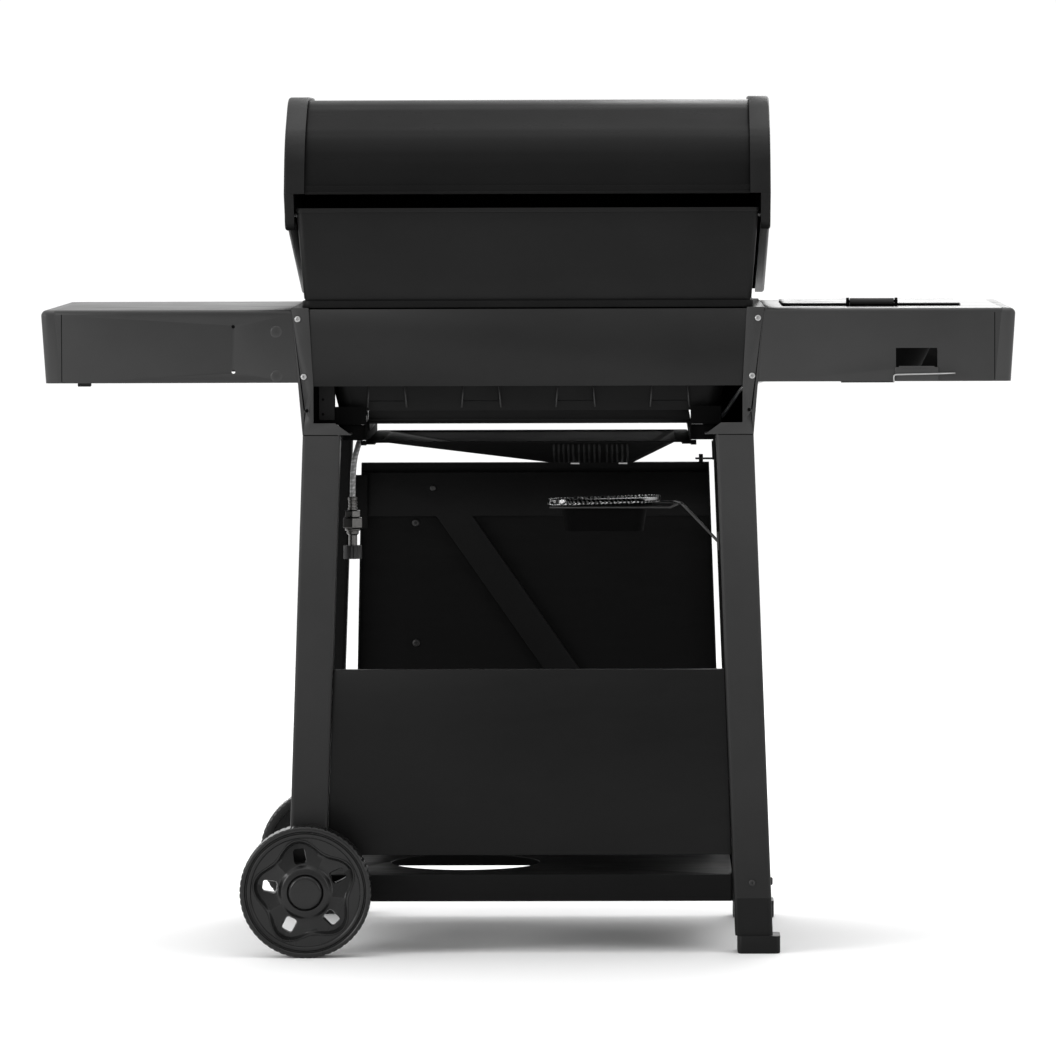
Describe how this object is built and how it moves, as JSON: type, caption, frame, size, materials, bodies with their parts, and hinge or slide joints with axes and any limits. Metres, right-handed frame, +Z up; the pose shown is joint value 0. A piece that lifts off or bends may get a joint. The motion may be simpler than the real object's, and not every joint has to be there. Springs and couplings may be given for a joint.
{
  "type": "gas barbecue grill",
  "caption": "Freestanding black gas barbecue grill with four burners, a side burner, a rolled hood, two side shelves and a cart with wheels, feet, a door and a grease cup.",
  "frame": {"origin": "on the ground under the middle of the grill's bounding box", "axes": "+Z up, -Y towards the user at the control panel, +X towards the user's right, the wheel side"},
  "size_m": [1.3168, 0.589, 1.1619],
  "materials": {
    "satin_black_steel": "satin powder coat",
    "light_black_steel": "satin powder coat",
    "matt_black_steel": "matt heat-resistant paint",
    "hood_enamel": "satin enamel",
    "cast_end": "satin paint on cast metal",
    "zinc_steel": "zinc-plated",
    "stainless": "brushed",
    "aluminised": "aluminised sheet",
    "foil": "bright foil",
    "iron": "enamelled",
    "black_plastic": "moulded",
    "wheel_plastic": "moulded",
    "hose_rubber": "light grey outer",
    "brass_fitting": "plain",
    "dial": "steel dial"
  },
  "bodies": {
    "cart": {"leg_rear_right": "light_black_steel", "leg_rear_left": "light_black_steel", "leg_front_right": "light_black_steel", "leg_front_left": "light_black_steel", "foot_rear": "black_plastic", "foot_front": "black_plastic", "bottom_shelf": "light_black_steel", "rear_panel": "satin_black_steel", "door_catch": "satin_black_steel", "axle": "zinc_steel", "door_hinges": "satin_black_steel", "console_side_right": "light_black_steel", "console_side_left": "light_black_steel", "rear_fascia": "satin_black_steel", "control_panel": "satin_black_steel", "gas_manifold": "aluminised", "firebox_tub": "matt_black_steel", "firebox_upper": "matt_black_steel", "burners": "stainless", "flame_tamers": "stainless", "cooking_grates": "iron", "warming_rack": "zinc_steel", "hood_pins": "zinc_steel", "shelf_right": "light_black_steel", "shelf_left": "light_black_steel", "shelf_cap_right": "black_plastic", "shelf_cap_left": "black_plastic", "side_burner_pan": "satin_black_steel", "side_burner_head": "stainless", "side_burner_grate": "iron", "side_gas_tube": "hose_rubber", "tray_rails": "matt_black_steel", "cup_hanger": "zinc_steel", "gas_hose": "hose_rubber", "regulator": "brass_fitting", "cart_bolts": "zinc_steel", "console_screws": "zinc_steel"},
    "hood": {"hood_skin": "hood_enamel", "hood_cap_right": "cast_end", "hood_cap_left": "cast_end", "hood_handle": "stainless", "handle_posts": "black_plastic", "hood_gauge": "dial"},
    "side_lid": {"side_burner_lid": "satin_black_steel"},
    "door": {"door_panel": "satin_black_steel", "door_brace": "satin_black_steel", "door_handle": "stainless"},
    "rear_wheel": {"wheel_rear": "wheel_plastic", "hub_cap_rear": "black_plastic"},
    "front_wheel": {"wheel_front": "wheel_plastic", "hub_cap_front": "black_plastic"},
    "tray": {"grease_tray": "aluminised"},
    "cup": {"grease_cup": "satin_black_steel", "foil_liner": "foil"},
    "nut": {"coupling_nut": "black_plastic"},
    "burner_knob_1": {"knob_1": "black_plastic"},
    "burner_knob_2": {"knob_2": "black_plastic"},
    "burner_knob_3": {"knob_3": "black_plastic"},
    "burner_knob_4": {"knob_4": "black_plastic"},
    "side_burner_knob": {"knob_side": "black_plastic"}
  },
  "joints": [
    {"name": "hood_hinge", "type": "hinge", "parent": "cart", "child": "hood", "pos_m": [0, 0.198, 1.002], "axis": [-1, 0, 0], "range_deg": [0, 85]},
    {"name": "side_lid_hinge", "type": "hinge", "parent": "cart", "child": "side_lid", "pos_m": [-0.468, 0.13, 0.8815], "axis": [-1, 0, 0], "range_deg": [0, 95]},
    {"name": "door_hinge", "type": "hinge", "parent": "cart", "child": "door", "pos_m": [-0.238, -0.222, 0.379], "axis": [0, 0, -1], "range_deg": [0, 105]},
    {"name": "rear_wheel_spin", "type": "hinge", "parent": "cart", "child": "rear_wheel", "pos_m": [0.30218, 0.262, 0.089], "axis": [0, 1, 0], "continuous": true},
    {"name": "front_wheel_spin", "type": "hinge", "parent": "cart", "child": "front_wheel", "pos_m": [0.30218, -0.262, 0.089], "axis": [0, 1, 0], "continuous": true},
    {"name": "grease_tray_slide", "type": "slide", "parent": "cart", "child": "tray", "axis": [0, 1, 0], "range_m": [0, 0.3]},
    {"name": "grease_cup_slide", "type": "slide", "parent": "cart", "child": "cup", "axis": [1, 0, 0], "range_m": [0, 0.16]},
    {"name": "coupling_nut_turn", "type": "hinge", "parent": "cart", "child": "nut", "pos_m": [0.24, 0.17, 0.543], "axis": [0, 0, -1], "continuous": true},
    {"name": "burner_knob_1_turn", "type": "hinge", "parent": "cart", "child": "burner_knob_1", "pos_m": [-0.192, -0.24946, 0.824], "axis": [0, -0.9774, 0.2113], "range_deg": [0, 180]},
    {"name": "burner_knob_2_turn", "type": "hinge", "parent": "cart", "child": "burner_knob_2", "pos_m": [-0.064, -0.24946, 0.824], "axis": [0, -0.9774, 0.2113], "range_deg": [0, 180]},
    {"name": "burner_knob_3_turn", "type": "hinge", "parent": "cart", "child": "burner_knob_3", "pos_m": [0.064, -0.24946, 0.824], "axis": [0, -0.9774, 0.2113], "range_deg": [0, 180]},
    {"name": "burner_knob_4_turn", "type": "hinge", "parent": "cart", "child": "burner_knob_4", "pos_m": [0.192, -0.24946, 0.824], "axis": [0, -0.9774, 0.2113], "range_deg": [0, 180]},
    {"name": "side_burner_knob_turn", "type": "hinge", "parent": "cart", "child": "side_burner_knob", "pos_m": [-0.468, -0.225, 0.826], "axis": [0, -1, 0], "range_deg": [0, 180]}
  ]
}
